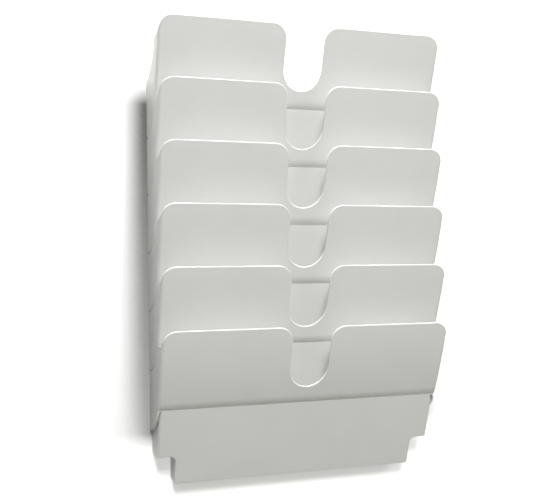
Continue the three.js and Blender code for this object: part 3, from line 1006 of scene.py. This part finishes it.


# Matt emulsion paint: white where it is seen, with the soft close shadow of the holder painted into that
# white from how much the holder closes off each spot. What lies against it within a few mm is lit by a
# painted glow of the wall, so that the back of the holder isn't black.
def wallEmulsion():
    material, tree = newMaterial("wall_emulsion_paint_matt")
    path, background = addBackgroundShare(tree)
    geometry = addNode(tree, "ShaderNodeNewGeometry")
    spot = addNode(tree, "ShaderNodeSeparateXYZ", [geometry.outputs["Position"]])
    height = spot.outputs["Z"]
    across = addNode(tree, "ShaderNodeMath", [spot.outputs["X"]], operation="ABSOLUTE")

    # how strong the painted shadow is: weaker downwards, at its start and under the shoulders
    full = addNode(tree, "ShaderNodeMapRange", [
        height, *stage["shadowHeights"], *stage["shadowStrengths"]])
    start = addNode(tree, "ShaderNodeMapRange", [height, *stage["shadowStart"], stage["startShare"]])
    under = addNode(tree, "ShaderNodeMapRange", [height, *stage["shoulderHeights"]])
    aside = addNode(tree, "ShaderNodeMapRange", [
        across, *stage["shoulderBeside"], 0, stage["shoulderCut"]])
    cut = addNode(tree, "ShaderNodeMath", [under, aside], operation="MULTIPLY")
    kept = addNode(tree, "ShaderNodeMath", [1, cut], operation="SUBTRACT")
    started = addNode(tree, "ShaderNodeMath", [full, start], operation="MULTIPLY")
    strength = addNode(tree, "ShaderNodeMath", [started, kept], operation="MULTIPLY")
    darkest = addNode(tree, "ShaderNodeMath", [1, strength], operation="SUBTRACT")
    # the painted shadow: the seen white darkened where the holder closes off the surroundings
    around = addNode(tree, "ShaderNodeAmbientOcclusion", {"Distance": stage["shadowReach"]},
                     samples=stage["shadowSamples"])
    shade = addNode(tree, "ShaderNodeMapRange", [around.outputs["AO"], *stage["shadowSpan"], darkest],
                    interpolation_type="SMOOTHSTEP")
    white = addNode(tree, "ShaderNodeMath", [shade, stage["wallSeen"]], operation="MULTIPLY")

    # the grey that lights the object, with painted shade: darker towards the foot and behind the holder,
    # so that less light bounces from there
    footShade = addNode(tree, "ShaderNodeMapRange", [height, *stage["greyHeights"]])
    behindShade = addNode(tree, "ShaderNodeMapRange", [across, *stage["behindSpan"], stage["greyBehind"], 0])
    grey = addNode(tree, "ShaderNodeMix", {
        0: addNode(tree, "ShaderNodeMath", [footShade, behindShade], operation="MAXIMUM"),
        6: linearColour(stage["wallGrey"]), 7: linearColour(stage["wallGreyFoot"])}, data_type="RGBA")
    # what is seen is the white with its painted shadow, what lights the object is the grey with its
    # painted shade
    colour = addNode(tree, "ShaderNodeMix", {0: background, 6: grey, 7: white}, data_type="RGBA")

    # painted light of its own: a glow below the trays and close to the holder's back
    below = addNode(tree, "ShaderNodeMapRange", [height, *stage["glowHeights"], 0, stage["wallGlow"]])
    lift = addNode(tree, "ShaderNodeMath", [background, below], operation="MULTIPLY")
    close = addNode(tree, "ShaderNodeMath", [path.outputs["Ray Length"], stage["rearGap"]],
                    operation="LESS_THAN")
    glow = addNode(tree, "ShaderNodeMath", [close, stage["rearGlow"], lift], operation="MULTIPLY_ADD")
    finishPaint(tree, colour, glow)
    return material


# Matt floor paint: pale where it is seen, and a warm grey where it lights the object
def floorPaint():
    material, tree = newMaterial("floor_paint_matt")
    background = addBackgroundShare(tree)[1]
    colour = addNode(tree, "ShaderNodeMix", {
        0: background, 6: linearColour(stage["floorGrey"]), 7: linearColour(stage["floorSeen"])},
        data_type="RGBA")
    glow = addNode(tree, "ShaderNodeMath", [background, stage["floorGlow"]], operation="MULTIPLY")
    finishPaint(tree, colour, glow)
    return material


far, behind, low = stage["wallSize"], stage["behind"], -stage["floorDrop"]
wallCorners = [(-far, behind, low), (far, behind, low), (far, behind, far), (-far, behind, far)]
floorCorners = [(-far, -far, low), (far, -far, low), (far, far, low), (-far, far, low)]
plane("stageWall", wallCorners, wallEmulsion())
plane("stageFloor", floorCorners, floorPaint())

world = bpy.data.worlds.new("softRoom")
bpy.context.scene.world = world
world.use_nodes = True
world.node_tree.nodes.clear()
seen = addBackgroundShare(world.node_tree)[1]
roomLight = addNode(world.node_tree, "ShaderNodeMix", {
    0: seen, 2: stage["roomFill"], 3: 1}, data_type="FLOAT")
room = addNode(world.node_tree, "ShaderNodeBackground", {"Color": (1, 1, 1, 1), "Strength": roomLight})
addNode(world.node_tree, "ShaderNodeOutputWorld", {"Surface": room})

# Softboxes, aimed at the middle of the holder, in m
lamps = {
    "key": {"at": (-0.55, -3.0, 1.75), "size": 0.7, "watts": 53},
    "left": {"at": (-0.5, -2.1, 1.55), "size": 0.5, "watts": 17},
    "right": {"at": (1.3, -1.5, 0.7), "size": 0.6, "watts": 6.5},
    "overhead": {"at": (0.0, -0.3, 2.1), "size": 0.6, "watts": 50},
}
for name, lamp in lamps.items():
    data = bpy.data.lights.new(name + "Softbox", "AREA")
    data.shape = "SQUARE"
    data.size = lamp["size"]
    data.energy = lamp["watts"]
    softbox = bpy.data.objects.new(name + "Softbox", data)
    bpy.context.scene.collection.objects.link(softbox)
    softbox.location = lamp["at"]
    softbox.rotation_euler = (-Vector(lamp["at"])).to_track_quat("-Z", "Y").to_euler()

# As fitted to the edges in the photograph
camera = {
    "at": (-292.1, -905.7, -40.4),      # mm
    "yaw": 17.534,
    "pitch": 3.007,
    "roll": -1.1225,
    "focalPixels": 786.55,
    "frameWidth": 560,
    "sensorWidth": 36,        # mm
    "clip": (0.01, 50),       # m
}
yaw, pitch, roll = (math.radians(camera[k]) for k in ("yaw", "pitch", "roll"))
forward = Vector((math.sin(yaw) * math.cos(pitch), math.cos(yaw) * math.cos(pitch), math.sin(pitch)))
level = Vector((math.cos(yaw), -math.sin(yaw), 0))
levelUp = level.cross(forward)
right = level * math.cos(roll) + levelUp * math.sin(roll)
up = levelUp * math.cos(roll) - level * math.sin(roll)
cameraData = bpy.data.cameras.new("productCamera")
cameraData.sensor_width = camera["sensorWidth"]
cameraData.lens = camera["focalPixels"] * camera["sensorWidth"] / camera["frameWidth"]
cameraData.clip_start, cameraData.clip_end = camera["clip"]
cameraObject = bpy.data.objects.new("productCamera", cameraData)
bpy.context.scene.collection.objects.link(cameraObject)
aim = Matrix((right, up, -forward)).transposed()
cameraObject.matrix_world = Matrix.Translation(Vector(camera["at"]) * mm) @ aim.to_4x4()
bpy.context.scene.camera = cameraObject
bpy.context.scene.view_settings.view_transform = "Standard"
print("Stage, lamps and camera set")
